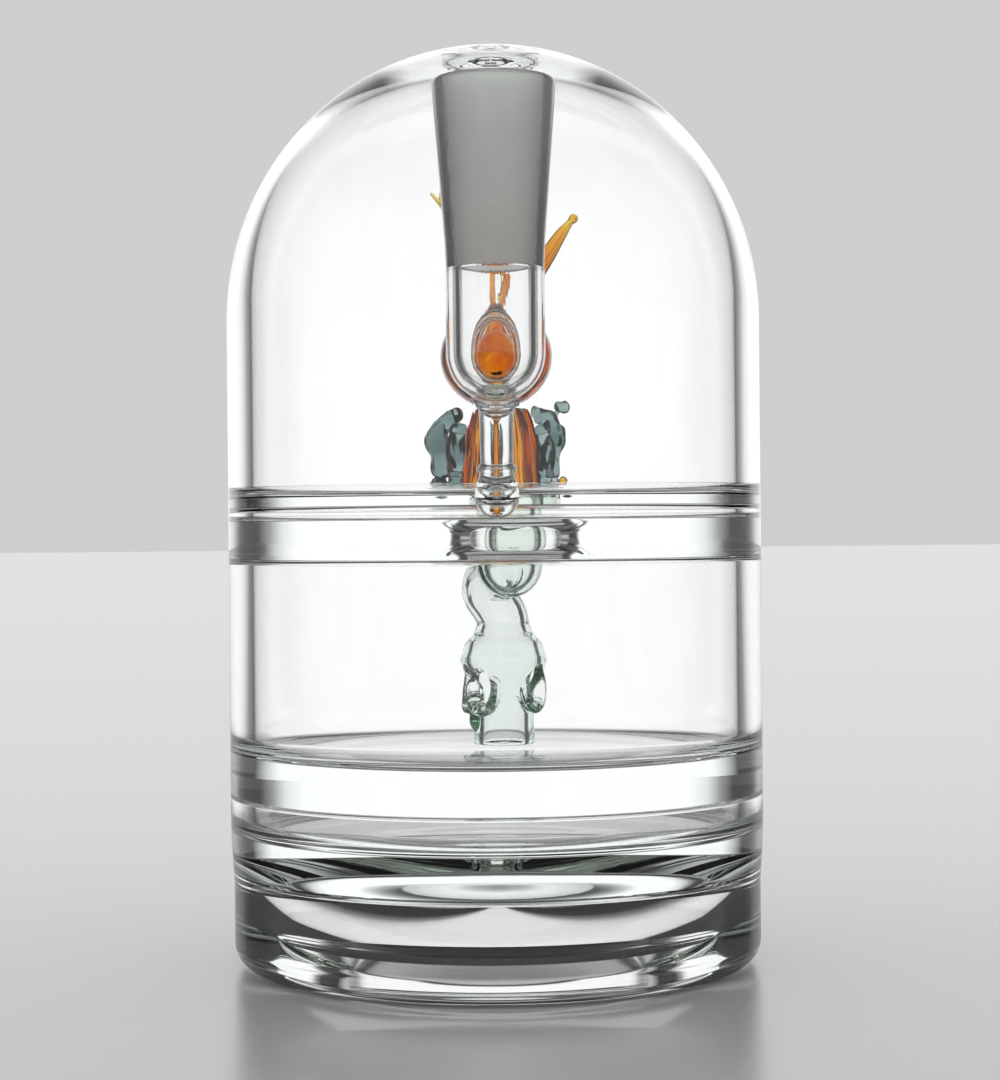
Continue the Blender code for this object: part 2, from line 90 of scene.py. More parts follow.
JOINT_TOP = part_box("joint_socket")[1][2]
JOINT_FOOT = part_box("joint_socket")[0][2]
BULB_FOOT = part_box("joint_bulb")[0][2]
JOINT_AXIS = Matrix.Translation((middle("joint_socket").x, middle("joint_socket").y, 0.0))
JOINT_X, JOINT_Y = JOINT_AXIS.translation.xy
BRIDGE_HEIGHT = middle("bridge_tube").z
BRIDGE_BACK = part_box("bridge_tube")[1][1]
BRIDGE_OVAL = 1.2              # the bridge's height over its width
WALL_FRONT = -CAN_RADIUS
BALL = middle("support_ball")
TUBE_X, TUBE_Y = middle("down_tube").xy
TUBE_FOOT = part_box("down_tube")[0][2]
BULB_X, BULB_Y = 1.3 * MM, 2.6 * MM
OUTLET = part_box("perc_bulb")[0][2]
PORT_OVAL = 1.35               # each side port's height over its width
TRUNK_X = middle("amber_trunk").x
HEAD = middle("amber_head")
HEAD_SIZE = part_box("amber_head")[1][2] - HEAD.z
FACE = next(mount for mount in frame["record"]["mounts"] if mount["name"] == "mouth_face")
MOUTH = Vector((0.0, *FACE["pos_m"][1:]))
MOUTH_AIM = Vector(FACE["axis"])


def size(default, name, description):
    """A length property in metres."""
    return FloatProperty(name=name, description=description, default=default, min=0.0, soft_max=0.2,
                         precision=5, unit="LENGTH")


def amount(default, name, description, most=10000.0):
    """A plain number from nothing upwards."""
    return FloatProperty(name=name, description=description, default=default, min=0.0, max=most)


def tint(default, name, description):
    """A colour property."""
    return FloatVectorProperty(name=name, description=description, default=default, min=0.0, max=1.0,
                               subtype="COLOR", size=3)


class CanSizes(bpy.types.PropertyGroup):
    wall: size(4.0 * MM, "Wall", "Thickness of the can's wall")
    spring: size(CAN_TOP - 45.5 * MM, "Dome spring", "Height where the wall turns into the dome")
    crown: size(4.3 * MM, "Crown", "Thickness of the glass at the top of the dome")
    dimple: size(2.4 * MM, "Dimple", "Height of the small hollow in the crown's middle")
    slab_hole: size(11.0 * MM, "Slab hole", "Radius of the hole through the middle slab")
    vent: size(3.0 * MM, "Vent", "Radius of each vent through the deck")
    vent_start: size(14.0 * MM, "First vent", "How far the first vent stands behind the can's axis")
    vent_pitch: size(8.0 * MM, "Vent pitch", "From one vent to the next")
    foot_edge: size(4.2 * MM, "Foot edge", "Radius of the foot's outer edge")
    waist: size(0.5 * MM, "Waist", "How far the foot draws in under the can")
    punt_radius: size(24.5 * MM, "Punt radius", "Radius of the hollow under the foot")
    punt_height: size(6.0 * MM, "Punt height", "Height of the hollow under the foot")
    colour: tint((0.40, 0.77, 0.42), "Colour", "What the clear glass lets through over a long way")
    density: amount(1.2, "Density", "How fast the clear glass takes its colour")


class JointSizes(bpy.types.PropertyGroup):
    mouth: size(8.95 * MM, "Mouth", "Outer radius of the ground joint's mouth")
    neck: size(7.1 * MM, "Neck", "Outer radius of the ground joint's lower end")
    bore_mouth: size(7.25 * MM, "Bore mouth", "Radius of the ground bore at its mouth")
    bore_neck: size(5.75 * MM, "Bore neck", "Radius of the ground bore at its lower end")
    bulb: size(7.2 * MM, "Bulb", "Outer radius of the bulb under the joint")
    bulb_wall: size(2.0 * MM, "Bulb wall", "Thickness of that bulb")
    bridge: size(4.4 * MM, "Bridge", "Half the width of the tube from the bulb into the dome")
    bridge_wall: size(1.3 * MM, "Bridge wall", "Thickness of that tube")
    rod: size(2.5 * MM, "Rod", "Radius of the solid rod under the bulb")
    ground_colour: tint((0.96, 0.96, 0.95), "Ground glass", "Colour of the ground bore")


class MouthSizes(bpy.types.PropertyGroup):
    tube: size(6.9 * MM, "Tube", "Outer radius of the mouthpiece tube")
    bore: size(5.2 * MM, "Bore", "Inner radius of the mouthpiece tube")
    lip: size(9.5 * MM, "Lip", "Radius of the rolled lip")
    lip_depth: size(3.2 * MM, "Lip depth", "Thickness of the rolled lip")
    length: size(29.0 * MM, "Length", "From the lip's face to the dome's bore")


class PercolatorSizes(bpy.types.PropertyGroup):
    tube: size(5.35 * MM, "Tube", "Outer radius of the down tube")
    bend: size(4.3 * MM, "Bend", "Outer radius of the S bend")
    belly: size(7.3 * MM, "Belly", "Outer radius of the bulb")
    outlet: size(5.15 * MM, "Outlet", "Outer radius of the open end")
    wall: size(1.5 * MM, "Wall", "Thickness of the percolator's glass")
    port: size(1.9 * MM, "Port", "Radius of each side port")
    colour: tint((0.19, 0.58, 0.36), "Colour", "What the percolator's glass lets through")
    density: amount(55.0, "Density", "How fast this glass takes its colour")


class SculptureLook(bpy.types.PropertyGroup):
    shell: size(1.2 * MM, "Shell", "Wall of the hollow amber trunk")
    amber: tint((0.945, 0.775, 0.0), "Amber", "What the amber glass lets through")
    amber_density: amount(2500.0, "Amber density", "How fast amber glass takes its colour")
    smoky: tint((0.60, 0.69, 0.69), "Smoky", "What the smoky glass lets through")
    smoky_density: amount(1500.0, "Smoky density", "How fast smoky glass takes its colour")


class StageLook(bpy.types.PropertyGroup):
    floor_colour: tint((0.62, 0.62, 0.62), "Floor", "Colour of the pale floor")
    floor_in_glass: tint((0.17, 0.175, 0.175), "Floor in glass", "Colour of the floor seen through glass")
    glow: amount(1.12, "Glow", "Brightness of the studio behind the piece")
    softbox_top: amount(36.0, "Softbox top", "Height of the lit studio's upper edge, in degrees", 90.0)
    sheet_start: size(62.0 * MM, "Light sheet", "How far behind the piece the lit sheet starts")
    sky_colour: tint((0.62, 0.62, 0.62), "Backdrop", "Colour that the camera sees behind the piece")


# ---------------------------------------------------------------- modelling helpers

def activate(piece):
    """Make one object the only selected and the active one."""
    bpy.ops.object.select_all(action="DESELECT")
    piece.select_set(True)
    bpy.context.view_layer.objects.active = piece


def apply_place(piece, place):
    """Put an object somewhere and move that place into its mesh."""
    piece.matrix_world = place
    activate(piece)
    bpy.ops.object.transform_apply(location=True, rotation=True, scale=True)


def apply_all(piece):
    """Apply every modifier of a piece, first to last."""
    activate(piece)
    for modifier in list(piece.modifiers):
        bpy.ops.object.modifier_apply(modifier=modifier.name)


def smooth(piece, angle=35.0):
    """Shade a piece smooth, with sharp edges past an angle, and keep its large faces flat."""
    activate(piece)
    bpy.ops.object.shade_smooth_by_angle(angle=math.radians(angle))
    flat = piece.modifiers.new("flat_faces", "WEIGHTED_NORMAL")
    flat.keep_sharp = True
    flat.weight = 100
    apply_all(piece)


def arc(centre, across, along, start, end, count, power=2.0):
    """Points of part of an ellipse; a power over 2 makes it squarer."""
    points = []
    for step in range(count + 1):
        angle = math.radians(start + (end - start) * step / count)
        cos, sin = math.cos(angle), math.sin(angle)
        x = math.copysign(abs(cos) ** (2.0 / power), cos) if abs(cos) > 1e-9 else 0.0
        y = math.copysign(abs(sin) ** (2.0 / power), sin) if abs(sin) > 1e-9 else 0.0
        points.append((centre[0] + across * x, centre[1] + along * y))
    return points


def pick(piece, test):
    """Select, in edit mode, the corners that pass a test and what lies between them."""
    bpy.ops.mesh.select_all(action="DESELECT")
    mesh = bmesh.from_edit_mesh(piece.data)
    for corner in mesh.verts:
        corner.select = bool(test(corner))
    mesh.select_flush_mode()
    bmesh.update_edit_mesh(piece.data)


def draw_outline(name, points, closed):
    """Draw a chain of edges by moving one corner of a small plane and extruding it onwards."""
    bpy.ops.object.select_all(action="DESELECT")
    bpy.ops.mesh.primitive_plane_add(size=MM)
    piece = bpy.context.object
    piece.name = name
    piece.data.name = name
    bpy.ops.object.mode_set(mode="EDIT")
    bpy.ops.mesh.select_mode(type="VERT")
    pick(piece, lambda corner: corner.index > 0)
    bpy.ops.mesh.delete(type="VERT")
    bpy.ops.mesh.select_all(action="SELECT")
    here = Vector((-MM / 2, -MM / 2, 0.0))
    goal = Vector((points[0][0], 0.0, points[0][1]))
    bpy.ops.transform.translate(value=goal - here)
    for point in points[1:]:
        here, goal = goal, Vector((point[0], 0.0, point[1]))
        bpy.ops.mesh.extrude_vertices_move(TRANSFORM_OT_translate={"value": goal - here})
    if closed:
        last = len(points) - 1
        pick(piece, lambda corner: corner.index in (0, last))
        bpy.ops.mesh.edge_face_add()
    return piece


def turned(name, points, steps=128, place=None):
    """Spin an outline of (radius, height) points about the vertical axis."""
    closed = points[0][0] > 1e-7 or points[-1][0] > 1e-7
    piece = draw_outline(name, points, closed)
    bpy.ops.mesh.select_all(action="SELECT")
    bpy.ops.mesh.spin(steps=steps, angle=math.tau, center=(0, 0, 0), axis=(0, 0, 1))
    bpy.ops.mesh.select_all(action="SELECT")
    bpy.ops.mesh.remove_doubles(threshold=1e-6)
    bpy.ops.mesh.normals_make_consistent(inside=False)
    bpy.ops.object.mode_set(mode="OBJECT")
    if place is not None:
        apply_place(piece, place)
    return piece


def boolean(piece, other, operation):
    """Join another solid to a piece or cut it out, and remove that other solid."""
    step = piece.modifiers.new(operation.lower(), "BOOLEAN")
    step.operation = operation
    step.solver = "EXACT"
    step.object = other
    apply_all(piece)
    activate(other)
    bpy.ops.object.delete()
    activate(piece)


def ball(centre, radius, stretch=(1.0, 1.0, 1.0)):
    """A round or stretched ball of glass."""
    bpy.ops.object.select_all(action="DESELECT")
    bpy.ops.mesh.primitive_uv_sphere_add(segments=40, ring_count=24, radius=radius)
    piece = bpy.context.object
    apply_place(piece, Matrix.LocRotScale(Vector(centre), None, Vector(stretch)))
    return piece


def mouth_place(depth):
    """A place on the mouthpiece's axis, this far in from its face."""
    turn = MOUTH_AIM.to_track_quat("Z", "Y").to_matrix().to_4x4()
    return Matrix.Translation(MOUTH - MOUTH_AIM * depth) @ turn


def bridge_cutter(wide, tall, back, steps):
    """An oval bar on the bridge's axis, from this far back towards the front, to cut a port with."""
    length = 12 * MM
    turn = Matrix.Rotation(math.radians(90.0), 4, "X") @ Matrix.Diagonal((wide, tall, 1.0, 1.0))
    return turned("port", [(0.0, length), (1.0, length), (1.0, 0.0), (0.0, 0.0)], steps,
                  Matrix.Translation((JOINT_X, back, BRIDGE_HEIGHT)) @ turn)


def limb(points, radii, sides=5):
    """A solid rod along a smooth path, its radius given at each point."""
    bpy.ops.object.select_all(action="DESELECT")
    bpy.ops.curve.primitive_bezier_curve_add(radius=MM)
    piece = bpy.context.object
    curve = piece.data
    spline = curve.splines[0]
    spline.bezier_points.add(len(points) - 2)
    spline.radius_interpolation = "CARDINAL"
    for knot, point, radius in zip(spline.bezier_points, points, radii):
        knot.co = point
        knot.handle_left_type = knot.handle_right_type = "AUTO"
        knot.radius = radius / MM
    curve.resolution_u = 12
    curve.bevel_depth = MM
    curve.bevel_resolution = sides
    curve.use_fill_caps = True
    bpy.ops.object.convert(target="MESH")
    return bpy.context.object


def rounded_limb(points, radii, sides=5):
    """A limb with a ball on each end, as parts to melt."""
    return [limb(points, radii, sides), ball(points[0], radii[0] * 0.99),
            ball(points[-1], radii[-1] * 0.99)]


def melt(name, parts, voxel, rounds):
    """Melt overlapping solids into one piece with a smooth skin."""
    bpy.ops.object.select_all(action="DESELECT")
    for part in parts:
        part.select_set(True)
    bpy.context.view_layer.objects.active = parts[0]
    bpy.ops.object.join()
    piece = bpy.context.object
    piece.name = name
    piece.data.name = name
    skin = piece.modifiers.new("melted_skin", "REMESH")
    skin.mode = "VOXEL"
    skin.voxel_size = voxel
    flow = piece.modifiers.new("flow", "SMOOTH")
    flow.factor = 0.5
    flow.iterations = rounds
    apply_all(piece)
    smooth(piece, 180.0)
    return piece


def paint(piece, slot, test):
    """Give one of a piece's materials to the faces that pass a test."""
    activate(piece)
    bpy.ops.object.mode_set(mode="EDIT")
    bpy.ops.mesh.select_mode(type="FACE")
    bpy.ops.mesh.select_all(action="DESELECT")
    mesh = bmesh.from_edit_mesh(piece.data)
    for face in mesh.faces:
        face.select = bool(test(face))
    bmesh.update_edit_mesh(piece.data)
    piece.active_material_index = slot
    bpy.ops.object.material_slot_assign()
    bpy.ops.object.mode_set(mode="OBJECT")


def dress(piece, *materials):
    """Give a piece its materials."""
    piece.data.materials.clear()
    for material in materials:
        piece.data.materials.append(material)


def stand_for(piece, slot, *nodes):
    """Let a finished piece ride on the frame in place of the plain nodes."""
    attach(piece, "root")
    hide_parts(*nodes)


def along(*points):
    """Points given in millimetres, in metres."""
    return [Vector(point) * MM for point in points]


def millimetres(*points):
    """Outline points given in millimetres, in metres."""
    return [(radius * MM, height * MM) for radius, height in points]


def thick(*radii):
    """Radii given in millimetres, in metres."""
    return [radius * MM for radius in radii]


# ---------------------------------------------------------------- materials

def add_node(tree, kind, label, location, parent=None, **values):
    """Add a labelled node in its place, inside a frame, with its settings."""
    node = tree.nodes.new(kind)
    node.label = label
    node.location = location
    node.parent = parent
    for key, value in values.items():
        setattr(node, key, value)
    return node


def frame_node(tree, label):
    """Add the frame that groups the nodes of one effect."""
    return add_node(tree, "NodeFrame", label, (0, 0))


def set_inputs(node, **values):
    """Set a node's unlinked inputs; an underscore in a name stands for a space."""
    for key, value in values.items():
        node.inputs[key.replace("_", " ")].default_value = value


def set_ramp(node, *stops):
    """Set a colour ramp's stops, each a position and a colour."""
    knots = node.color_ramp.elements
    while len(knots) < len(stops):
        knots.new(0.5)
    for knot, (position, colour) in zip(knots, stops):
        knot.position = position
        knot.color = (*colour, 1.0)


def new_material(name, label, **values):
    """A material with its shader labelled and set."""
    material = bpy.data.materials.new(name)
    material.use_nodes = True
    shader = material.node_tree.nodes["Principled BSDF"]
    shader.label = label
    shader.location = (500, 100)
    set_inputs(shader, **values)
    material.node_tree.nodes["Material Output"].location = (850, 0)
    return material, material.node_tree, shader


def melted_glass(name, colour, density, wave, depth, ior=1.47):
    """Polished coloured glass: drawn waves on its skin, faint streaks, colour taken with depth."""
    if name in bpy.data.materials:
        return bpy.data.materials[name]
    material, tree, shader = new_material(name, "polished glass", Roughness=0.0, IOR=ior,
                                          Transmission_Weight=1.0)
    link = tree.links.new
    place = add_node(tree, "ShaderNodeTexCoord", "fixed to the piece", (-900, 0))

    waves = frame_node(tree, "waves left by drawing the glass")
    lengthways = add_node(tree, "ShaderNodeMapping", "longer upwards", (-650, 0), waves)
    set_inputs(lengthways, Scale=(1.0, 1.0, 0.45))
    swell = add_node(tree, "ShaderNodeTexNoise", "slow swell", (-400, 0), waves)
    set_inputs(swell, Scale=1.0 / wave, Detail=1.0, Roughness=0.4)
    bump = add_node(tree, "ShaderNodeBump", "waves on the skin", (-100, -100), waves)
    set_inputs(bump, Strength=1.0, Distance=depth)
    link(place.outputs["Object"], lengthways.inputs["Vector"])
    link(lengthways.outputs["Vector"], swell.inputs["Vector"])
    link(swell.outputs["Fac"], bump.inputs["Height"])
    link(bump.outputs["Normal"], shader.inputs["Normal"])

    streaks = frame_node(tree, "faint streaks in the melt")
    cord = add_node(tree, "ShaderNodeTexNoise", "streaks", (-400, 350), streaks)
    set_inputs(cord, Scale=3.0 / wave, Detail=2.0)
    shade = add_node(tree, "ShaderNodeValToRGB", "almost clear to clear", (-100, 350), streaks)
    set_ramp(shade, (0.3, (0.975, 0.98, 0.98)), (0.7, (1.0, 1.0, 1.0)))
    link(lengthways.outputs["Vector"], cord.inputs["Vector"])
    link(cord.outputs["Fac"], shade.inputs["Fac"])
    link(shade.outputs["Color"], shader.inputs["Base Color"])

    body = add_node(tree, "ShaderNodeVolumeAbsorption", "colour taken in thick glass", (500, -420))
    set_inputs(body, Color=(*colour, 1.0), Density=density)
    link(body.outputs["Volume"], tree.nodes["Material Output"].inputs["Volume"])
    return material


def clear_glass():
    """Clear glass that turns green over a long way."""
    sizes = bpy.context.scene.bubbler_can
    return melted_glass("clear_glass_polished", sizes.colour, sizes.density, 16 * MM, 0.012 * MM)


def percolator_glass():
    """The pale grey-green glass of the percolator."""
    sizes = bpy.context.scene.bubbler_percolator
    return melted_glass("percolator_glass", sizes.colour, sizes.density, 5 * MM, 0.02 * MM)


def amber_glass():
    """Deep amber glass, yellow where it is thin."""
    look = bpy.context.scene.bubbler_sculpture
    return melted_glass("amber_glass_melted", look.amber, look.amber_density, 3 * MM, 0.08 * MM, 1.5)


def smoky_glass():
    """Blue-grey smoky glass."""
    look = bpy.context.scene.bubbler_sculpture
    return melted_glass("smoky_glass_melted", look.smoky, look.smoky_density, 2.2 * MM, 0.10 * MM, 1.5)


def ground_glass():
    """The ground bore of the joint: even grey frost with fine grinding marks."""
    sizes = bpy.context.scene.bubbler_joint
    material, tree, shader = new_material("ground_glass", "ground frost", IOR=1.47, Transmission_Weight=0.72)
    link = tree.links.new
    place = add_node(tree, "ShaderNodeTexCoord", "fixed to the joint", (-900, 0))

    grain = frame_node(tree, "grinding grain")
    around = add_node(tree, "ShaderNodeMapping", "marks run up the bore", (-650, 0), grain)
    set_inputs(around, Scale=(1.0, 1.0, 0.35))
    grit = add_node(tree, "ShaderNodeTexNoise", "grit marks", (-400, 0), grain)
    set_inputs(grit, Scale=1600.0, Detail=4.0)
    bump = add_node(tree, "ShaderNodeBump", "grit relief", (-100, -100), grain)
    set_inputs(bump, Distance=0.03 * MM)
    link(place.outputs["Object"], around.inputs["Vector"])
    link(around.outputs["Vector"], grit.inputs["Vector"])
    link(grit.outputs["Fac"], bump.inputs["Height"])
    link(bump.outputs["Normal"], shader.inputs["Normal"])

    frost = frame_node(tree, "uneven frost")
    patch = add_node(tree, "ShaderNodeTexNoise", "patches", (-400, 350), frost)
    set_inputs(patch, Scale=260.0, Detail=3.0)
    rough = add_node(tree, "ShaderNodeMapRange", "more or less ground", (-100, 200), frost)
    set_inputs(rough, To_Min=0.50, To_Max=0.66)
    shade = add_node(tree, "ShaderNodeValToRGB", "frost tone", (-100, 500), frost)
    set_ramp(shade, (0.25, [0.90 * part for part in sizes.ground_colour]), (0.75, sizes.ground_colour))
    link(around.outputs["Vector"], patch.inputs["Vector"])
    link(patch.outputs["Fac"], rough.inputs["Value"])
    link(rough.outputs["Result"], shader.inputs["Roughness"])
    link(patch.outputs["Fac"], shade.inputs["Fac"])
    link(shade.outputs["Color"], shader.inputs["Base Color"])
    return material


# ---------------------------------------------------------------- pieces

class BUBBLER_OT_can(bpy.types.Operator):
    """Model the can: foot, slabs, walls and dome melted into one thick vessel"""
    bl_idname = "bubbler.can"
    bl_label = "Clear can"

    def outside(self, sizes):
        """The outer outline, from the crown down and round under the foot."""
        top = (0.0, sizes.spring)
        points = arc(top, CAN_RADIUS, CAN_TOP - sizes.spring, 90, 0, 40)
        foot_radius = CAN_RADIUS - sizes.waist
        points += [(CAN_RADIUS, 60 * MM), (CAN_RADIUS, 24 * MM), (CAN_RADIUS - 0.1 * MM, 20 * MM),
                   (foot_radius, 14 * MM), (foot_radius, 8 * MM)]
        edge = sizes.foot_edge
        points += arc((foot_radius - edge, TABLE + edge), edge, edge, 0, -90, 10)
        inner = 2.5 * MM
        points += arc((sizes.punt_radius + inner, TABLE + inner), inner, inner, -90, -180, 6)
        seam = (sizes.punt_radius, TABLE + sizes.punt_height - 1.6 * MM)
        points += [seam] + millimetres((30, 7.0), (35.5, 10.6), (39.6, 15.0))
        points += arc((39.9 * MM, 15.5 * MM), 0.45 * MM, 0.45 * MM, -50, 130, 5)
        points += millimetres((35.0, 12.2), (29.5, 8.9), (24.0, 6.9), (19.0, 6.15), (10.0, 5.9), (0.0, 5.9))
        return points

    def hollow(self, bottom, top, low_fillet, high_fillet, radius):
        """A closed flat hollow with rounded corners."""
        points = [(0.0, bottom)]
        points += arc((radius - low_fillet, bottom + low_fillet), low_fillet, low_fillet, -90, 0, 8)
        points += arc((radius - high_fillet, top - high_fillet), high_fillet, high_fillet, 0, 90, 8)
        points += [(0.0, top)]
        return turned("hollow", points[::-1], 160)

    def drill(self, can, x, y, radius, bottom, top, ease):
        """Cut a round hole with eased rims straight down through a plate."""
        points = [(0.0, bottom - MM), (radius + ease, bottom - MM), (radius + ease, bottom)]
        points += arc((radius + ease, bottom + ease), ease, ease, -90, -180, 5)
        points += arc((radius + ease, top - ease), ease, ease, 180, 90, 5)
        points += [(radius + ease, top + MM), (0.0, top + MM)]
        hole = turned("hole", points[::-1], 64, Matrix.Translation((x, y, 0.0)))
        boolean(can, hole, "DIFFERENCE")

    def open_ports(self, can):
        """Open the slab hole, the vents and the ports of the bridge and the mouthpiece."""
        sizes = bpy.context.scene.bubbler_can
        joint = bpy.context.scene.bubbler_joint
        mouth = bpy.context.scene.bubbler_mouth
        slab_rim, vent_rim, sunk = 2.9 * MM, 0.4 * MM, 0.05 * MM
        self.drill(can, TUBE_X, TUBE_Y, sizes.slab_hole - slab_rim, SLAB_BOTTOM, SLAB_TOP, slab_rim)
        tube = bpy.context.scene.bubbler_percolator.tube
        self.drill(can, TUBE_X, TUBE_Y, tube - sunk, DECK_BOTTOM, DECK_TOP, 0.0)
        for step in range(3):
            depth = sizes.vent_start + step * sizes.vent_pitch
            self.drill(can, TRUNK_X, depth, sizes.vent - vent_rim, DECK_BOTTOM, DECK_TOP, vent_rim)
        port = bridge_cutter(joint.bridge - sunk, joint.bridge * BRIDGE_OVAL - sunk, WALL_FRONT + 8 * MM, 96)
        boolean(can, port, "DIFFERENCE")
        throat = turned("mouth_port", [(0.0, 14 * MM), (mouth.bore, 14 * MM), (mouth.bore, 0.0), (0.0, 0.0)],
                        96, mouth_place(mouth.length + 4 * MM))
        boolean(can, throat, "DIFFERENCE")

    def execute(self, context):
        sizes = context.scene.bubbler_can
        bore = CAN_RADIUS - sizes.wall
        can = turned("clear_can", self.outside(sizes), 192)

        for bottom, top, low, high in ((GAP_BOTTOM, GAP_TOP, 3.4 * MM, 0.8 * MM),
                                       (CHAMBER_FLOOR, SLAB_BOTTOM, 3.6 * MM, 1.0 * MM),
                                       (SLAB_TOP, DECK_BOTTOM, 0.9 * MM, 0.9 * MM)):
            boolean(can, self.hollow(bottom, top, low, high, bore), "DIFFERENCE")

        fillet = 2.0 * MM
        dome = [(0.0, DECK_TOP)]
        dome += arc((bore - fillet, DECK_TOP + fillet), fillet, fillet, -90, 0, 8)
        crown = CAN_TOP - sizes.crown
        dome += arc((0.0, sizes.spring), bore, crown - sizes.spring, 0, 83, 40, 2.25)
        rise = sizes.dimple
        dome += [(3.1 * MM, crown + 0.15 * MM), (2.5 * MM, crown + 0.6 * MM)]
        dome += arc((0.0, crown + rise * 0.4), 2.3 * MM, rise * 0.6, 10, 90, 6)
        boolean(can, turned("dome_hollow", dome[::-1], 192), "DIFFERENCE")
        self.open_ports(can)
        smooth(can, 30.0)
        dress(can, clear_glass())
        stand_for(can, "clear_glass", "foot_ring", "base_slab", "lower_spacer_wall", "chamber_floor",
                  "chamber_wall", "mid_slab", "upper_spacer_ring", "deck", "dome")
        return {"FINISHED"}


class BUBBLER_OT_joint(bpy.types.Operator):
    """Model the ground joint, and the bulb, bridge, rod and ball that carry it"""
    bl_idname = "bubbler.joint"
    bl_label = "Joint and carrier"

    def socket(self, sizes):
        rim = 0.9 * MM
        inner = 0.5 * MM
        points = [(sizes.bore_neck, JOINT_FOOT), (sizes.neck, JOINT_FOOT)]
        points += [(sizes.neck + 0.2 * MM, JOINT_FOOT + 4 * MM),
                   (sizes.mouth - 0.15 * MM, JOINT_TOP - 4 * MM)]
        points += arc((sizes.mouth - rim, JOINT_TOP - rim), rim, rim, 0, 90, 6)
        points += arc((sizes.bore_mouth + inner, JOINT_TOP - inner), inner, inner, 90, 180, 5)
        piece = turned("joint_socket_ground", points[::-1], 128, JOINT_AXIS)
        smooth(piece, 40.0)
        dress(piece, clear_glass(), ground_glass())
        limit = (sizes.bore_mouth + 0.3 * MM) / sizes.bore_mouth

        def in_bore(face):
            away = (face.calc_center_median() - JOINT_AXIS.translation).xy.length
            share = (face.calc_center_median().z - JOINT_FOOT) / (JOINT_TOP - JOINT_FOOT)
            bore = sizes.bore_neck + (sizes.bore_mouth - sizes.bore_neck) * share
            return away < bore * limit and abs(face.normal.z) < 0.4
        paint(piece, 1, in_bore)
        stand_for(piece, "frosted_glass", "joint_socket")

    def carrier(self, sizes):
        high = JOINT_FOOT - BULB_FOOT
        shell = [(0.0, 0.0)] + arc((0.0, sizes.bulb), sizes.bulb, sizes.bulb, -80, 0, 12)
        shell += [(sizes.bulb, high + 0.05 * MM), (0.0, high + 0.05 * MM)]
        base = JOINT_AXIS @ Matrix.Translation((0.0, 0.0, BULB_FOOT))
        outside = [turned("bulb", shell[::-1], 96, base)]
        turn = Matrix.Rotation(math.radians(90.0), 4, "X")
        oval = Matrix.Diagonal((1.0, BRIDGE_OVAL, 1.0, 1.0))
        length = BRIDGE_BACK - JOINT_Y
        at = Matrix.Translation((JOINT_X, BRIDGE_BACK, BRIDGE_HEIGHT)) @ turn @ oval
        width, ease = sizes.bridge, 0.6 * MM
        tube = [(0.0, 0.0), (width - ease, 0.0), (width, ease), (width, length), (0.0, length)]
        outside.append(turned("bridge", tube[::-1], 80, at))
        weld = -WALL_FRONT + BRIDGE_BACK
        half = 0.9 * MM
        flare = arc((width, weld), 1.5 * MM, half, -90, 90, 8)
        flare = [(width - MM, weld - half)] + flare + [(width - MM, weld + half)]
        outside.append(turned("weld", flare, 80, at))
        top = Vector((JOINT_X, JOINT_Y, BULB_FOOT + 0.4 * MM))
        foot = Vector((BALL.x, BALL.y - 1.0 * MM, BALL.z + 1.5 * MM))
        way = [top, top.lerp(foot, 0.12), top.lerp(foot, 0.5), top.lerp(foot, 0.86), foot]
        outside.append(limb(way, [sizes.rod * share for share in (1.35, 1.05, 1.0, 1.02, 1.25)], 7))
        outside.append(ball((BALL.x, BALL.y + 0.3 * MM, BALL.z), 3.35 * MM))
        ring_at = top.lerp(foot, 0.80)
        outside.append(ball(ring_at, sizes.rod * 1.22, (1.0, 1.0, 0.32)))
        piece = melt("joint_carrier", outside, 0.25 * MM, 6)

        bore = sizes.bulb - sizes.bulb_wall
        hollow = [(0.0, sizes.bulb_wall)] + arc((0.0, sizes.bulb), bore, bore, -80, 0, 12)
        hollow += [(bore, high + MM), (0.0, high + MM)]
        inside = turned("bulb_bore", hollow[::-1], 96, base)
        narrow = width - sizes.bridge_wall
        drill = [(0.0, -MM), (narrow, -MM), (narrow, length), (0.0, length)]
        bridge = turned("bridge_bore", drill[::-1], 80, at)
        boolean(inside, bridge, "UNION")
        boolean(piece, inside, "DIFFERENCE")
        smooth(piece, 40.0)
        dress(piece, clear_glass())
        stand_for(piece, "clear_glass", "joint_bulb", "bridge_tube", "support_rod", "support_ball")

    def execute(self, context):
        sizes = context.scene.bubbler_joint
        self.socket(sizes)
        self.carrier(sizes)
        return {"FINISHED"}


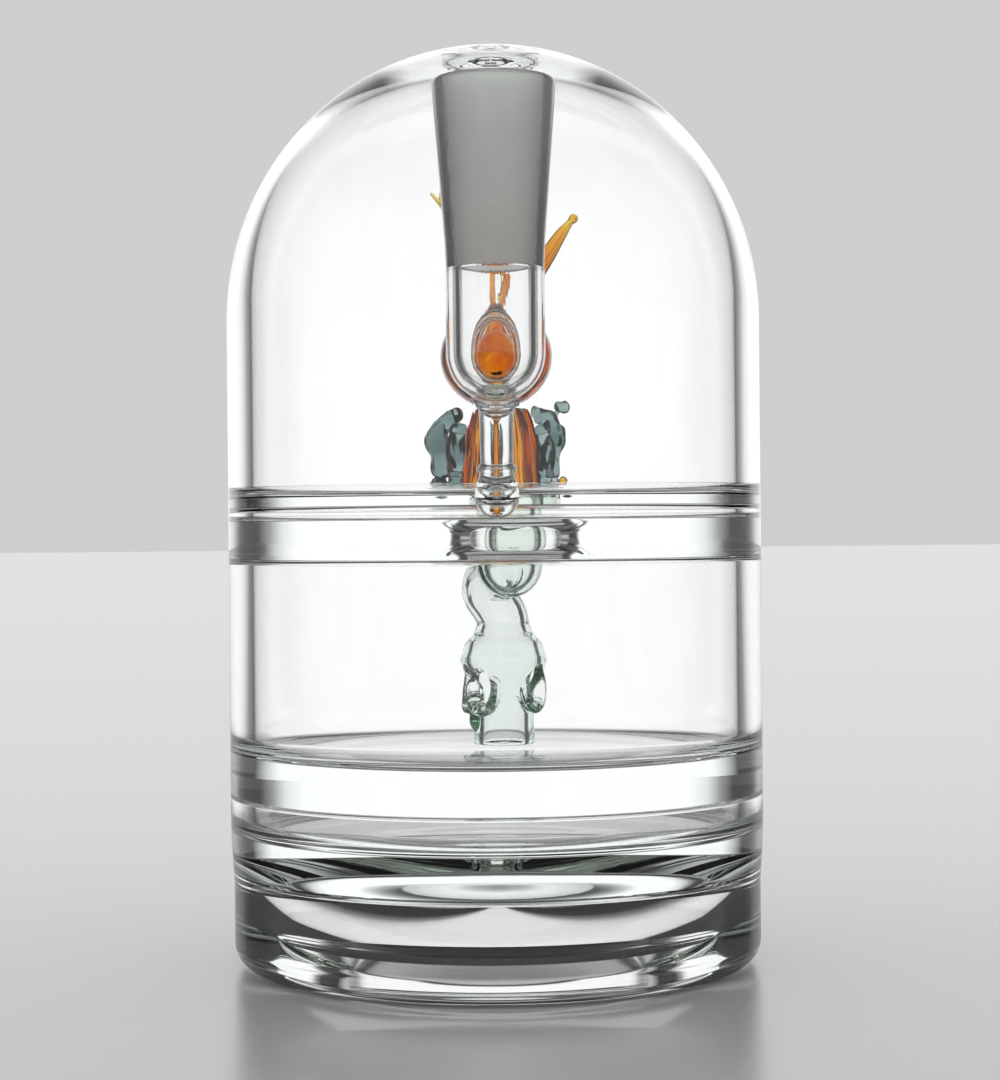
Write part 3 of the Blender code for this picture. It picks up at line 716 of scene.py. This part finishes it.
class BUBBLER_OT_mouthpiece(bpy.types.Operator):
    """Model the angled mouthpiece with its rolled lip, welded to the dome"""
    bl_idname = "bubbler.mouthpiece"
    bl_label = "Mouthpiece"

    def execute(self, context):
        sizes = context.scene.bubbler_mouth
        can = context.scene.bubbler_can
        lip, depth, tube, bore, length = sizes.lip, sizes.lip_depth, sizes.tube, sizes.bore, sizes.length
        half = depth / 2
        points = [(bore, -length), (tube + 2.4 * MM, -length), (tube + 2.4 * MM, -length + 3.4 * MM)]
        points += arc((tube + 2.4 * MM, -length + 6.6 * MM), 2.2 * MM, 3.0 * MM, -90, -180, 8)
        points += [(tube, -15 * MM), (tube + 0.1 * MM, -9 * MM), (tube + 0.5 * MM, -depth - 0.8 * MM)]
        points += arc((lip - half, -half), half, half, -80, 90, 14)
        points += arc((bore + 1.3 * MM, -1.4 * MM), 1.3 * MM, 1.4 * MM, 90, 180, 8)
        piece = turned("mouthpiece_lipped", points[::-1], 96, mouth_place(0.0))
        trim = 0.05 * MM
        inside = arc((0.0, can.spring), CAN_RADIUS - trim, CAN_TOP - can.spring - trim, 90, 0, 48)
        inside += [(CAN_RADIUS - trim, 80 * MM), (0.0, 80 * MM)]
        boolean(piece, turned("dome_side", inside, 192), "DIFFERENCE")
        smooth(piece, 35.0)
        dress(piece, clear_glass())
        stand_for(piece, "clear_glass", "mouthpiece_tube", "mouthpiece_lip")
        return {"FINISHED"}


class BUBBLER_OT_percolator(bpy.types.Operator):
    """Model the percolator: down tube, S bend and slotted bulb blown as one"""
    bl_idname = "bubbler.percolator"
    bl_label = "Percolator"

    def belly(self, sizes, wall):
        """The bulb's outline, drawn in by the wall for its hollow."""
        neck, belly, outlet = 4.4 * MM, sizes.belly, sizes.outlet
        knots = [(55.6, neck), (54.0, neck + 0.7 * MM), (52.4, belly - 0.75 * MM), (49.8, belly),
                 (47.4, belly - 0.7 * MM), (44.4, belly - 2.2 * MM), (42.2, outlet - 0.1 * MM),
                 (39.0, outlet - 0.15 * MM), (OUTLET / MM, outlet)]
        return [(radius - wall, height * MM) for height, radius in knots]

    def bend(self):
        """Where the S bend's middle line runs, from the down tube's side to the bulb's neck."""
        return along((2.0, -2.2, 64.6), (-0.5, 1.0, 63.6), (-1.3, 3.0, 61.2), (0.1, 3.1, 58.8),
                     (1.2, 2.7, 56.6), (1.3, 2.6, 54.2))

    def ports(self):
        """The three oval side ports: where each stands and which way it looks."""
        for compass, height in ((-128.0, 44.4), (-32.0, 44.9), (176.0, 44.7)):
            way = Vector((math.cos(math.radians(compass)), math.sin(math.radians(compass)), 0.12))
            place = Matrix.Translation(Vector((BULB_X, BULB_Y, height * MM)) + way * 4.6 * MM)
            turn = way.normalized().to_track_quat("Z", "Y").to_matrix().to_4x4()
            yield place @ turn @ Matrix.Diagonal((1.0, PORT_OVAL, 1.0, 1.0))

    def execute(self, context):
        sizes = context.scene.bubbler_percolator
        wall = sizes.wall
        axis = Matrix.Translation((BULB_X, BULB_Y, 0.0))
        tube_axis = Matrix.Translation((TUBE_X, TUBE_Y, 0.0))
        top = DECK_TOP

        def tube(name, radius, floor, ceiling):
            outline = [(0.0, floor)] + arc((0.0, TUBE_FOOT + sizes.tube), radius,
                                           TUBE_FOOT + sizes.tube - floor, -82, 0, 12)
            return turned(name, (outline + [(radius, ceiling), (0.0, ceiling)])[::-1], 80, tube_axis)

        outside = [tube("tube", sizes.tube, TUBE_FOOT, top)]
        outside.append(limb(self.bend(), [4.3 * MM] * 6, 8))
        line = self.belly(sizes, 0.0)
        outside.append(turned("bulb", [(0.0, line[0][1])] + line + [(0.0, line[-1][1])], 80, axis))
        outside.append(ball((BULB_X - 4.1 * MM, BULB_Y - 0.8 * MM, 39.9 * MM), 1.75 * MM, (1.0, 1.3, 1.25)))
        rim = arc((sizes.port + 0.75 * MM, 1.15 * MM), 0.8 * MM, 0.9 * MM, 0, 360, 14)[:-1]
        boss = [(0.0, -1.5 * MM), (sizes.port + 1.3 * MM, -1.5 * MM), (sizes.port + 1.0 * MM, 1.0 * MM),
                (0.0, 1.0 * MM)]
        for place in self.ports():
            outside.append(turned("rim", rim, 40, place))
            outside.append(turned("boss", boss[::-1], 40, place))
        piece = melt("percolator_s_bend", outside, 0.25 * MM, 4)

        inside = [tube("tube_bore", sizes.tube - wall - 0.2 * MM, TUBE_FOOT + wall, top + 2 * MM)]
        inside.append(limb(self.bend(), [3.1 * MM] * 6, 8))
        line = self.belly(sizes, wall)
        past_end = line[-1][1] - 2 * MM
        bore = [(0.0, line[0][1])] + line + [(line[-1][0], past_end), (0.0, past_end)]
        inside.append(turned("bulb_bore", bore, 80, axis))
        hole = [(0.0, -3.0 * MM), (sizes.port, -3.0 * MM), (sizes.port, 1.0 * MM),
                (sizes.port + 0.8 * MM, 3.0 * MM), (0.0, 3.0 * MM)]
        for place in self.ports():
            inside.append(turned("port", hole[::-1], 40, place))
        hollow = melt("percolator_bore", inside, 0.25 * MM, 4)
        boolean(piece, hollow, "DIFFERENCE")
        smooth(piece, 50.0)
        dress(piece, percolator_glass())
        stand_for(piece, "perc_glass", "down_tube", "s_bend_tube", "perc_bulb")
        return {"FINISHED"}


class BUBBLER_OT_amber(bpy.types.Operator):
    """Model the amber sculpture: fluted trunk, hollow head, stem, branch and strand"""
    bl_idname = "bubbler.amber"
    bl_label = "Amber sculpture"

    def flute(self, piece, axis_x, count, depth, seed):
        """Press soft upright folds into a turned piece."""
        for corner in piece.data.vertices:
            across = corner.co.xy - Vector((axis_x, 0.0))
            angle = math.atan2(across.y, across.x)
            spot = (math.cos(angle) * 2, math.sin(angle) * 2, corner.co.z / MM / 9 + seed)
            lean = noise.noise(Vector(spot))
            fold = math.cos(count * angle + 1.5 * lean) * depth
            share = 1.0 + fold / max(across.length, MM)
            corner.co.x = axis_x + across.x * share
            corner.co.y = across.y * share

    def wring(self, piece):
        """Push the skins of the head in and out in soft lengthwise folds, thicker at the back."""
        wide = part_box("amber_head")[1][0] - HEAD.x
        for corner in piece.data.vertices:
            away = corner.co - Vector((HEAD.x, 0.0, HEAD.z))
            angle = math.atan2(away.y, away.x)
            inside = (away.xy.length / wide) ** 2 + (away.z / HEAD_SIZE) ** 2 < 0.86
            spot = (math.cos(angle) * 2.6, math.sin(angle) * 2.6, away.z / MM / 9 + 5.0)
            fold = noise.noise(Vector(spot))
            back = max(0.0, away.y / HEAD_SIZE)
            if inside:
                corner.co -= away * (0.16 * fold + 0.30 * back)

    def trunk(self, look):
        low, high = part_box("amber_trunk")
        foot = low[2] - 0.25 * MM
        wall = look.shell
        outer = [(6.5 * MM, foot + 0.3 * MM), (6.35 * MM, foot + 2.2 * MM), (6.05 * MM, foot + 5 * MM),
                 (5.8 * MM, foot + 9 * MM), (5.2 * MM, foot + 12 * MM), (4.3 * MM, high[2] + 0.4 * MM)]
        inner = [(radius - wall, height) for radius, height in outer]
        piece = turned("amber_trunk_fluted", outer[::-1] + inner, 160,
                       Matrix.Translation((TRUNK_X, 0.0, 0.0)))
        soft = piece.modifiers.new("soft", "SUBSURF")
        soft.levels = soft.render_levels = 2
        apply_all(piece)
        self.flute(piece, TRUNK_X, 9, 0.42 * MM, 3.0)
        smooth(piece, 50.0)
        dress(piece, amber_glass())
        stand_for(piece, "amber_glass", "amber_trunk")

    def head(self, look):
        low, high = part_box("amber_head")
        radius, tall = (high[0] - low[0]) / 2, (high[2] - low[2]) / 2
        outer = arc((0.0, 0.0), radius, tall, 90, -64, 40)
        neck = outer[-1]
        wall = 1.0 * MM
        inner = arc((0.0, 0.0), radius - wall, tall - wall, -62, 90, 40)
        piece = turned("amber_head_shell", outer + [(neck[0] - 0.3 * MM, neck[1] - 0.4 * MM)] + inner, 128,
                       Matrix.Translation((HEAD.x, 0.0, HEAD.z)))
        self.wring(piece)
        bridge, lip = bpy.context.scene.bubbler_joint.bridge, 0.9 * MM
        boolean(piece, bridge_cutter(bridge - lip, bridge * BRIDGE_OVAL - lip, -1.5 * MM, 64), "DIFFERENCE")
        smooth(piece, 50.0)
        dress(piece, amber_glass())
        stand_for(piece, "amber_glass", "amber_head")

    def sprig(self, name, parts, node, voxel=0.16):
        piece = melt(name, parts, voxel * MM, 4)
        dress(piece, amber_glass())
        stand_for(piece, "amber_glass", node)

    def execute(self, context):
        look = context.scene.bubbler_sculpture
        self.trunk(look)
        self.head(look)

        stem = rounded_limb(along((-0.6, 0.1, 109.4), (-0.9, 0.0, 112.5), (-1.5, 0.1, 116.5),
                                 (-4.2, 0.6, 120.4), (-7.4, 0.9, 123.2), (-10.0, 1.0, 126.0)),
                            thick(1.35, 1.0, 0.85, 0.75, 0.6, 0.32))
        self.sprig("amber_stem_drawn", stem, "amber_stem")
        fork = rounded_limb(along((-8.4, 0.8, 125.1), (-8.2, 0.8, 126.6), (-7.6, 0.8, 127.9)),
                            thick(0.42, 0.38, 0.42))
        self.sprig("amber_fork_tip", fork, "amber_fork", 0.1)
        branch = rounded_limb(along((3.6, 1.6, 109.2), (6.4, 1.6, 112.6), (9.3, 1.6, 116.2),
                                    (11.7, 1.6, 119.6), (13.4, 1.6, 121.7)),
                              thick(1.35, 1.6, 1.35, 0.95, 0.5))
        branch.append(ball(Vector((13.55, 1.6, 121.8)) * MM, 0.8 * MM))
        self.sprig("amber_branch_drawn", branch, "amber_branch")
        strand = [limb(along((1.5, -0.95, 109.0), (2.9, -0.95, 110.2), (3.25, -0.95, 112.4),
                             (2.6, -0.95, 113.7), (2.5, -0.9, 114.9), (1.8, -0.8, 115.3)),
                       thick(0.55, 0.5, 0.5, 0.46, 0.5, 0.42))]
        self.sprig("amber_strand_loop", strand, "amber_strand", 0.1)
        drop = middle("amber_bud")
        bud = [ball(drop + Vector((0.0, 0.0, 0.5 * MM)), 0.85 * MM, (0.9, 0.9, 1.15)),
               ball(drop - Vector((0.0, 0.0, 0.9 * MM)), 0.7 * MM, (1.0, 1.0, 0.9))]
        self.sprig("amber_bud_drop", bud, "amber_bud", 0.1)
        return {"FINISHED"}


class BUBBLER_OT_smoky(bpy.types.Operator):
    """Model the smoky columns, arms, feet and finial on both sides of the trunk"""
    bl_idname = "bubbler.smoky"
    bl_label = "Smoky sculpture"

    def piece(self, name, parts, node, voxel=0.14):
        melted = melt(name, parts, voxel * MM, 4)
        normals = [corner.normal.copy() for corner in melted.data.vertices]
        for corner, normal in zip(melted.data.vertices, normals):
            spot = Vector((*corner.co.xy / (1.3 * MM), corner.co.z / (3.2 * MM)))
            corner.co += normal * noise.noise(spot) * 0.55 * MM
        dress(melted, smoky_glass())
        stand_for(melted, "smoky_glass", node)

    def execute(self, context):
        columns = {
            "left": (along((-6.3, -2.6, 78.1), (-6.2, -2.6, 80.5), (-6.2, -2.6, 84.0), (-6.0, -2.4, 88.0)),
                     thick(1.6, 1.2, 1.7, 1.1)),
            "right": (along((8.5, -2.0, 78.0), (8.5, -2.0, 80.5), (8.5, -2.0, 84.0), (8.1, -1.8, 87.8)),
                      thick(1.35, 1.05, 1.45, 0.95))}
        arms = {
            "left": (along((-6.1, -1.2, 90.6), (-7.4, -0.8, 89.9), (-8.8, -0.4, 88.2), (-9.5, -0.2, 86.0),
                           (-9.0, 0.0, 83.6), (-8.8, 0.0, 81.4)), thick(1.1, 1.35, 1.6, 2.0, 1.6, 1.5)),
            "right": (along((7.1, -0.4, 90.8), (8.4, -0.2, 90.0), (9.6, 0.0, 88.5), (10.2, 0.1, 86.8),
                            (9.9, 0.2, 84.4), (9.9, 0.2, 81.2)), thick(1.1, 1.35, 1.5, 1.75, 1.35, 1.3))}
        for word in ("left", "right"):
            path, radii = columns[word]
            column = rounded_limb(path, radii)
            column.append(ball(path[1], radii[1] * 1.35, (1.0, 1.0, 0.45)))
            column.append(ball(path[3], radii[3] * 1.3, (1.0, 1.0, 0.7)))
            self.piece("smoky_column_" + word + "_barrel", column, "smoky_column_" + word)
            path, radii = arms[word]
            arm = rounded_limb(path, radii)
            knuckle = path[3] + Vector((0.0, -0.5 * MM, -0.6 * MM))
            arm.append(ball(knuckle, radii[3] * 0.92, (1.05, 1.0, 0.8)))
            arm.append(ball(path[1], radii[1] * 1.15, (1.1, 1.0, 0.7)))
            self.piece("smoky_arm_" + word + "_bent", arm, "smoky_arm_" + word)
            node = "smoky_foot_" + word
            low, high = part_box(node)
            radius = (high[0] - low[0]) / 2
            rise = Vector((0.0, 0.0, 0.9 * MM))
            foot = [ball(middle(node), radius, (1.0, 1.0, 0.72)),
                    ball(middle(node) - rise, radius * 1.05, (1.0, 1.0, 0.3)),
                    ball(middle(node) + rise, radius * 0.7, (1.0, 1.0, 0.6))]
            self.piece(node + "_pad", foot, node)
        low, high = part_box("smoky_finial")
        centre = Vector((high[0] - 1.15 * MM, 0.4 * MM, high[2] - 1.15 * MM))
        root = Vector((low[0] + 0.1 * MM, 0.3 * MM, low[2] - 0.3 * MM))
        knob = ball(centre, 1.15 * MM)
        neck = limb([root, root.lerp(centre, 0.5), centre], thick(0.6, 0.36, 0.4))
        self.piece("smoky_finial_ball", [knob, neck], "smoky_finial", 0.1)
        return {"FINISHED"}


class BUBBLER_OT_stage(bpy.types.Operator):
    """Set up the pale floor, the soft studio light and the camera"""
    bl_idname = "bubbler.stage"
    bl_label = "Studio and camera"

    def floor(self, look):
        bpy.ops.object.select_all(action="DESELECT")
        bpy.ops.mesh.primitive_plane_add(size=12.0, location=(0.0, 0.0, TABLE))
        floor = bpy.context.object
        floor.name = "studio_floor"
        material, tree, shader = new_material("pale_floor", "pale floor", Roughness=0.22)
        shader.location = (0, 0)
        eye = add_node(tree, "ShaderNodeLightPath", "what looks at the floor", (-500, 100))
        tone = add_node(tree, "ShaderNodeMix", "pale to the eye, darker through the glass", (-250, 100),
                        data_type="RGBA")
        set_inputs(tone, A=(*look.floor_in_glass, 1.0), B=(*look.floor_colour, 1.0))
        tree.links.new(eye.outputs["Is Camera Ray"], tone.inputs["Factor"])
        tree.links.new(tone.outputs["Result"], shader.inputs["Base Color"])
        self.light_sheet(tree, shader, eye, look)
        dress(floor, material)

    def compass(self, tree, place, output, left):
        """Nodes for the angle from straight behind the piece, left and right alike, and their split."""
        split = add_node(tree, "ShaderNodeSeparateXYZ", "direction", (left, 0))
        side = add_node(tree, "ShaderNodeMath", "left and right alike", (left + 200, 100),
                        operation="ABSOLUTE")
        turn = add_node(tree, "ShaderNodeMath", "compass from straight behind", (left + 400, 100),
                        operation="ARCTAN2")
        tree.links.new(place.outputs[output], split.inputs["Vector"])
        tree.links.new(split.outputs["X"], side.inputs[0])
        tree.links.new(side.outputs[0], turn.inputs[0])
        tree.links.new(split.outputs["Y"], turn.inputs[1])
        return split, turn

    def light_sheet(self, tree, shader, eye, look):
        """A lit sheet on the floor behind the piece, which only its glass sees."""
        link = tree.links.new
        place = add_node(tree, "ShaderNodeTexCoord", "place on the floor", (-1300, -300))
        split, turn = self.compass(tree, place, "Object", -1100)
        spread = add_node(tree, "ShaderNodeMapRange", "as wide as the backdrop", (-500, -200))
        set_inputs(spread, From_Min=math.radians(31.0), From_Max=math.radians(42.0), To_Min=1.0, To_Max=0.0)
        start = add_node(tree, "ShaderNodeMapRange", "starts behind the piece", (-500, -500))
        set_inputs(start, From_Min=look.sheet_start, From_Max=look.sheet_start * 1.3)
        lit = add_node(tree, "ShaderNodeMath", "lit sheet", (-300, -300), operation="MULTIPLY")
        seen = add_node(tree, "ShaderNodeMath", "only through the glass", (-120, -400), operation="MULTIPLY")
        glow = add_node(tree, "ShaderNodeEmission", "lit sheet", (100, -300))
        set_inputs(glow, Strength=look.glow)
        mix = add_node(tree, "ShaderNodeMixShader", "floor or lit sheet", (400, 0))
        link(turn.outputs[0], spread.inputs["Value"])
        link(split.outputs["Y"], start.inputs["Value"])
        link(spread.outputs["Result"], lit.inputs[0])
        link(start.outputs["Result"], lit.inputs[1])
        link(lit.outputs[0], seen.inputs[0])
        link(eye.outputs["Is Transmission Ray"], seen.inputs[1])
        link(seen.outputs[0], mix.inputs["Fac"])
        link(shader.outputs["BSDF"], mix.inputs[1])
        link(glow.outputs["Emission"], mix.inputs[2])
        link(mix.outputs["Shader"], tree.nodes["Material Output"].inputs["Surface"])

    def surround(self, look):
        """A soft studio all round: bright behind the piece, dark gaps beside it, dim in front."""
        world = bpy.data.worlds.new("soft_studio")
        bpy.context.scene.world = world
        world.use_nodes = True
        tree = world.node_tree
        link = tree.links.new
        background = tree.nodes["Background"]
        background.label = "what the camera sees"
        background.location = (600, 200)
        set_inputs(background, Color=(*look.sky_colour, 1.0))
        place = add_node(tree, "ShaderNodeTexCoord", "all round", (-900, 0))
        split, turn = self.compass(tree, place, "Generated", -700)
        share = add_node(tree, "ShaderNodeMath", "as a share of half a turn", (-100, 100),
                         operation="DIVIDE")
        share.inputs[1].default_value = math.pi
        ramp = add_node(tree, "ShaderNodeValToRGB", "softbox, dark gap, dim room", (100, 100))
        levels = ((0.0, 1.0), (30.0, 1.0), (35.0, 0.8), (40.0, 0.3), (46.0, 0.05), (63.0, 0.03),
                  (70.0, 0.42), (180.0, 0.58))
        set_ramp(ramp, *((degrees / 180.0, (level, level, level)) for degrees, level in levels))
        height = add_node(tree, "ShaderNodeMapRange", "the softbox ends overhead", (100, -300),
                          interpolation_type="SMOOTHSTEP")
        fade = 10.0
        set_inputs(height, From_Min=math.sin(math.radians(look.softbox_top - fade)),
                   From_Max=math.sin(math.radians(look.softbox_top + fade)), To_Min=1.0, To_Max=0.10)
        dim = add_node(tree, "ShaderNodeVectorMath", "softbox light", (400, -100), operation="SCALE")
        studio = add_node(tree, "ShaderNodeBackground", "what the glass sees", (600, 0))
        set_inputs(studio, Strength=look.glow)
        eye = add_node(tree, "ShaderNodeLightPath", "what looks at the studio", (600, 500))
        plain = add_node(tree, "ShaderNodeMath", "even light for matt things", (750, 500),
                         operation="MAXIMUM")
        mix = add_node(tree, "ShaderNodeMixShader", "plain pale backdrop behind the studio", (850, 100))
        output = tree.nodes["World Output"]
        output.location = (1050, 100)
        link(turn.outputs[0], share.inputs[0])
        link(share.outputs[0], ramp.inputs["Fac"])
        link(split.outputs["Z"], height.inputs["Value"])
        link(ramp.outputs["Color"], dim.inputs[0])
        link(height.outputs["Result"], dim.inputs["Scale"])
        link(dim.outputs["Vector"], studio.inputs["Color"])
        link(eye.outputs["Is Camera Ray"], plain.inputs[0])
        link(eye.outputs["Is Diffuse Ray"], plain.inputs[1])
        link(plain.outputs[0], mix.inputs["Fac"])
        link(studio.outputs["Background"], mix.inputs[1])
        link(background.outputs["Background"], mix.inputs[2])
        link(mix.outputs["Shader"], output.inputs["Surface"])

    def camera(self):
        bpy.ops.object.camera_add(location=(0.9 * MM, -418.0 * MM, 73.06 * MM),
                                  rotation=(math.radians(90.0), math.radians(0.5), 0.0))
        camera = bpy.context.object
        camera.name = "studio_camera"
        camera.data.lens = 83.8
        camera.data.shift_y = -20.0 / 1080.0
        camera.data.clip_start = 0.01
        bpy.context.scene.camera = camera

    def execute(self, context):
        look = context.scene.bubbler_stage
        self.floor(look)
        self.surround(look)
        self.camera()
        scene = context.scene
        scene.view_settings.view_transform = "Standard"
        scene.cycles.use_denoising = True
        scene.cycles.max_bounces = 24
        scene.cycles.transmission_bounces = 24
        scene.cycles.glossy_bounces = 16
        scene.cycles.sample_clamp_indirect = 6.0
        return {"FINISHED"}


OPERATORS = (BUBBLER_OT_can, BUBBLER_OT_joint, BUBBLER_OT_mouthpiece, BUBBLER_OT_percolator,
             BUBBLER_OT_amber, BUBBLER_OT_smoky, BUBBLER_OT_stage)
SETTINGS = {"bubbler_can": CanSizes, "bubbler_joint": JointSizes, "bubbler_mouth": MouthSizes,
            "bubbler_percolator": PercolatorSizes, "bubbler_sculpture": SculptureLook,
            "bubbler_stage": StageLook}
GROUPS = tuple(SETTINGS.values())


class BUBBLER_PT_panel(bpy.types.Panel):
    bl_idname = "BUBBLER_PT_panel"
    bl_label = "Glass bubbler"
    bl_space_type = "VIEW_3D"
    bl_region_type = "UI"
    bl_category = "Bubbler"

    def draw(self, context):
        for operator in OPERATORS:
            self.layout.operator(operator.bl_idname)


def register():
    for cls in GROUPS + OPERATORS + (BUBBLER_PT_panel,):
        bpy.utils.register_class(cls)
    for name, group in SETTINGS.items():
        setattr(bpy.types.Scene, name, PointerProperty(type=group))


def unregister():
    for name in SETTINGS:
        delattr(bpy.types.Scene, name)
    for cls in reversed(GROUPS + OPERATORS + (BUBBLER_PT_panel,)):
        bpy.utils.unregister_class(cls)


def main():
    register()
    for step in ("can", "joint", "mouthpiece", "percolator", "amber", "smoky", "stage"):
        getattr(bpy.ops.bubbler, step)()


if __name__ == "__main__":
    main()
